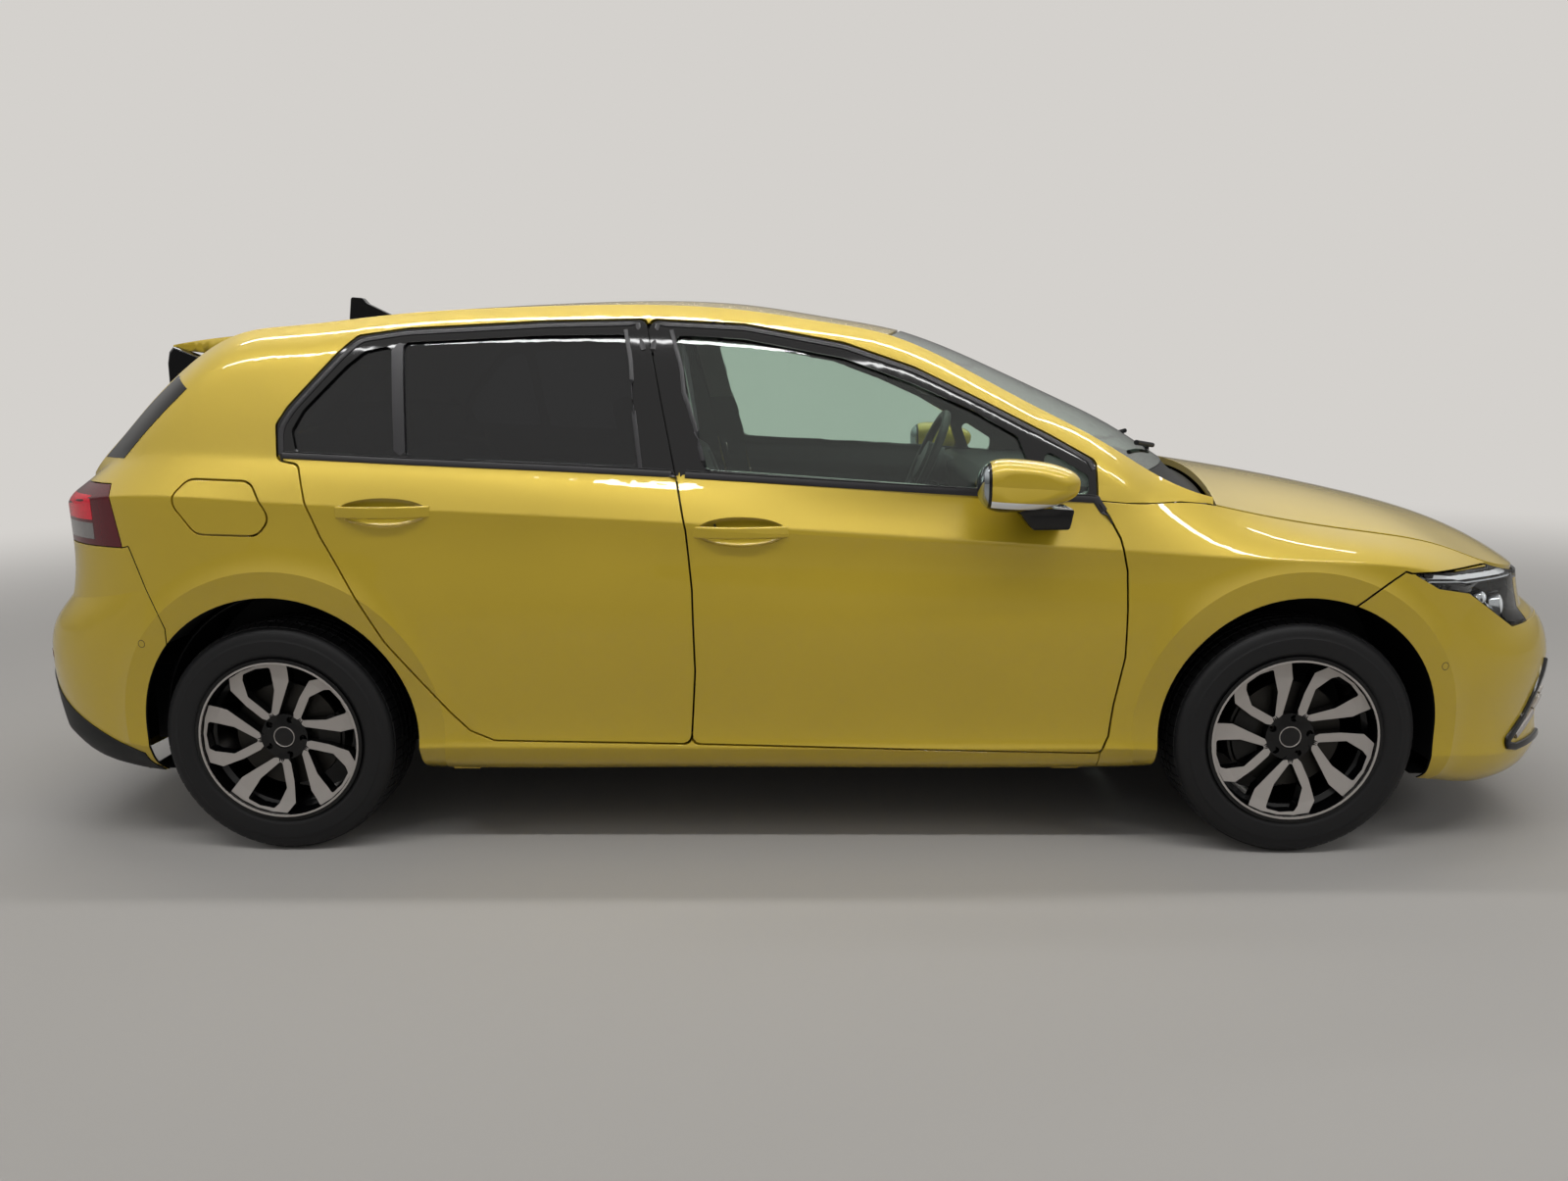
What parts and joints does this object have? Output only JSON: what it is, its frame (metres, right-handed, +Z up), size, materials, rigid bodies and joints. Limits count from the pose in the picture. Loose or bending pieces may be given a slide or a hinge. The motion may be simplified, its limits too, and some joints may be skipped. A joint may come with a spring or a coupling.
{
  "type": "five-door hatchback car",
  "caption": "Compact five-door hatchback with hinged doors, bonnet, tailgate and fuel flap, steered front wheels and a furnished cabin.",
  "frame": {"origin": "on the ground, midway along the length, on the centre plane", "axes": "+X forward to the nose, +Y to the left side of the car, +Z up"},
  "size_m": [4.2837, 2.073, 1.493],
  "materials": {
    "yellow_paint": "metallic yellow under clear coat",
    "clear_glass": "clear, faintly green",
    "privacy_glass": "dark tinted",
    "lamp_lens": "clear polycarbonate",
    "red_lens": "red acrylic",
    "gloss_black_plastic": "gloss",
    "black_plastic": "grained",
    "tyre_rubber": "moulded",
    "alloy": "machined face over gloss black",
    "cast_metal": "as cast",
    "underbody_coat": "dip primed black",
    "exhaust_steel": "dull stainless",
    "wheel_leather": "smooth",
    "seat_fabric": "woven"
  },
  "bodies": {
    "root": {"arch_liners": "black_plastic", "bulkhead_and_rails": "underbody_coat", "cowl_and_wipers": "black_plastic", "dashboard": "black_plastic", "engine_block": "cast_metal", "exhaust": "exhaust_steel", "floor_pan": "underbody_coat", "front_bumper": "yellow_paint", "front_seats": "seat_fabric", "front_struts": "underbody_coat", "front_subframe": "underbody_coat", "front_wings": "yellow_paint", "fuel_tank": "black_plastic", "grille_panels": "gloss_black_plastic", "headlamps": "lamp_lens", "rear_arch_liners": "black_plastic", "rear_axle": "underbody_coat", "rear_bumper": "yellow_paint", "rear_diffuser": "black_plastic", "rear_seat": "seat_fabric", "roof_aerial": "gloss_black_plastic", "roof_panel": "yellow_paint", "side_frame_left": "yellow_paint", "side_frame_right": "yellow_paint", "steering_column": "black_plastic", "tail_lamps": "red_lens", "windscreen": "clear_glass"},
    "door_front_left": {"door_front_left": "yellow_paint", "door_glass_front_left": "clear_glass", "mirror_left": "yellow_paint"},
    "door_rear_left": {"door_rear_left": "yellow_paint", "door_glass_rear_left": "privacy_glass"},
    "knuckle_left": {"knuckle_left": "cast_metal"},
    "wheel_front_left": {"tyre_front_left": "tyre_rubber", "rim_front_left": "alloy"},
    "wheel_rear_left": {"tyre_rear_left": "tyre_rubber", "rim_rear_left": "alloy"},
    "door_front_right": {"door_front_right": "yellow_paint", "door_glass_front_right": "clear_glass", "mirror_right": "yellow_paint"},
    "door_rear_right": {"door_rear_right": "yellow_paint", "door_glass_rear_right": "privacy_glass"},
    "knuckle_right": {"knuckle_right": "cast_metal"},
    "wheel_front_right": {"tyre_front_right": "tyre_rubber", "rim_front_right": "alloy"},
    "wheel_rear_right": {"tyre_rear_right": "tyre_rubber", "rim_rear_right": "alloy"},
    "bonnet": {"bonnet": "yellow_paint"},
    "tailgate": {"tailgate": "yellow_paint", "tailgate_glass": "privacy_glass", "tailgate_lamps": "red_lens", "roof_spoiler": "yellow_paint"},
    "fuel_flap": {"fuel_flap": "yellow_paint"},
    "steering_wheel": {"steering_wheel": "wheel_leather"}
  },
  "joints": [
    {"name": "steer_left", "type": "hinge", "parent": "root", "child": "knuckle_left", "pos_m": [1.265, 0.7, 0.31], "axis": [0, 0, 1], "range_deg": [-35, 35]},
    {"name": "wheel_front_left_spin", "type": "hinge", "parent": "knuckle_left", "child": "wheel_front_left", "pos_m": [1.265, 0.7745, 0.31], "axis": [0, 1, 0], "continuous": true},
    {"name": "wheel_rear_left_spin", "type": "hinge", "parent": "root", "child": "wheel_rear_left", "pos_m": [-1.371, 0.76, 0.31], "axis": [0, 1, 0], "continuous": true},
    {"name": "door_front_left_swing", "type": "hinge", "parent": "root", "child": "door_front_left", "pos_m": [0.762, 0.888, 0.62], "axis": [0, 0, -1], "range_deg": [0, 65]},
    {"name": "door_rear_left_swing", "type": "hinge", "parent": "root", "child": "door_rear_left", "pos_m": [-0.327, 0.888, 0.62], "axis": [0, 0, -1], "range_deg": [0, 70]},
    {"name": "steer_right", "type": "hinge", "parent": "root", "child": "knuckle_right", "pos_m": [1.265, -0.7, 0.31], "axis": [0, 0, 1], "range_deg": [-35, 35]},
    {"name": "wheel_front_right_spin", "type": "hinge", "parent": "knuckle_right", "child": "wheel_front_right", "pos_m": [1.265, -0.7745, 0.31], "axis": [0, 1, 0], "continuous": true},
    {"name": "wheel_rear_right_spin", "type": "hinge", "parent": "root", "child": "wheel_rear_right", "pos_m": [-1.371, -0.76, 0.31], "axis": [0, 1, 0], "continuous": true},
    {"name": "door_front_right_swing", "type": "hinge", "parent": "root", "child": "door_front_right", "pos_m": [0.762, -0.888, 0.62], "axis": [0, 0, 1], "range_deg": [0, 65]},
    {"name": "door_rear_right_swing", "type": "hinge", "parent": "root", "child": "door_rear_right", "pos_m": [-0.327, -0.888, 0.62], "axis": [0, 0, 1], "range_deg": [0, 70]},
    {"name": "bonnet_lift", "type": "hinge", "parent": "root", "child": "bonnet", "pos_m": [1.03, 0, 0.935], "axis": [0, -1, 0], "range_deg": [0, 50]},
    {"name": "tailgate_lift", "type": "hinge", "parent": "root", "child": "tailgate", "pos_m": [-1.4955, 0, 1.39], "axis": [0, 1, 0], "range_deg": [0, 75]},
    {"name": "fuel_flap_swing", "type": "hinge", "parent": "root", "child": "fuel_flap", "pos_m": [-1.345, -0.892, 0.93], "axis": [0, 0, 1], "range_deg": [0, 85]},
    {"name": "steering_wheel_turn", "type": "hinge", "parent": "root", "child": "steering_wheel", "pos_m": [0.4294, 0.3712, 0.9318], "axis": [-0.9136, 0, 0.4067], "range_deg": [-480, 480]}
  ],
  "couplings": [
    {"joint": "steer_right", "follows": "steer_left", "ratio": 1},
    {"joint": "steering_wheel_turn", "follows": "steer_left", "ratio": 13.7}
  ]
}
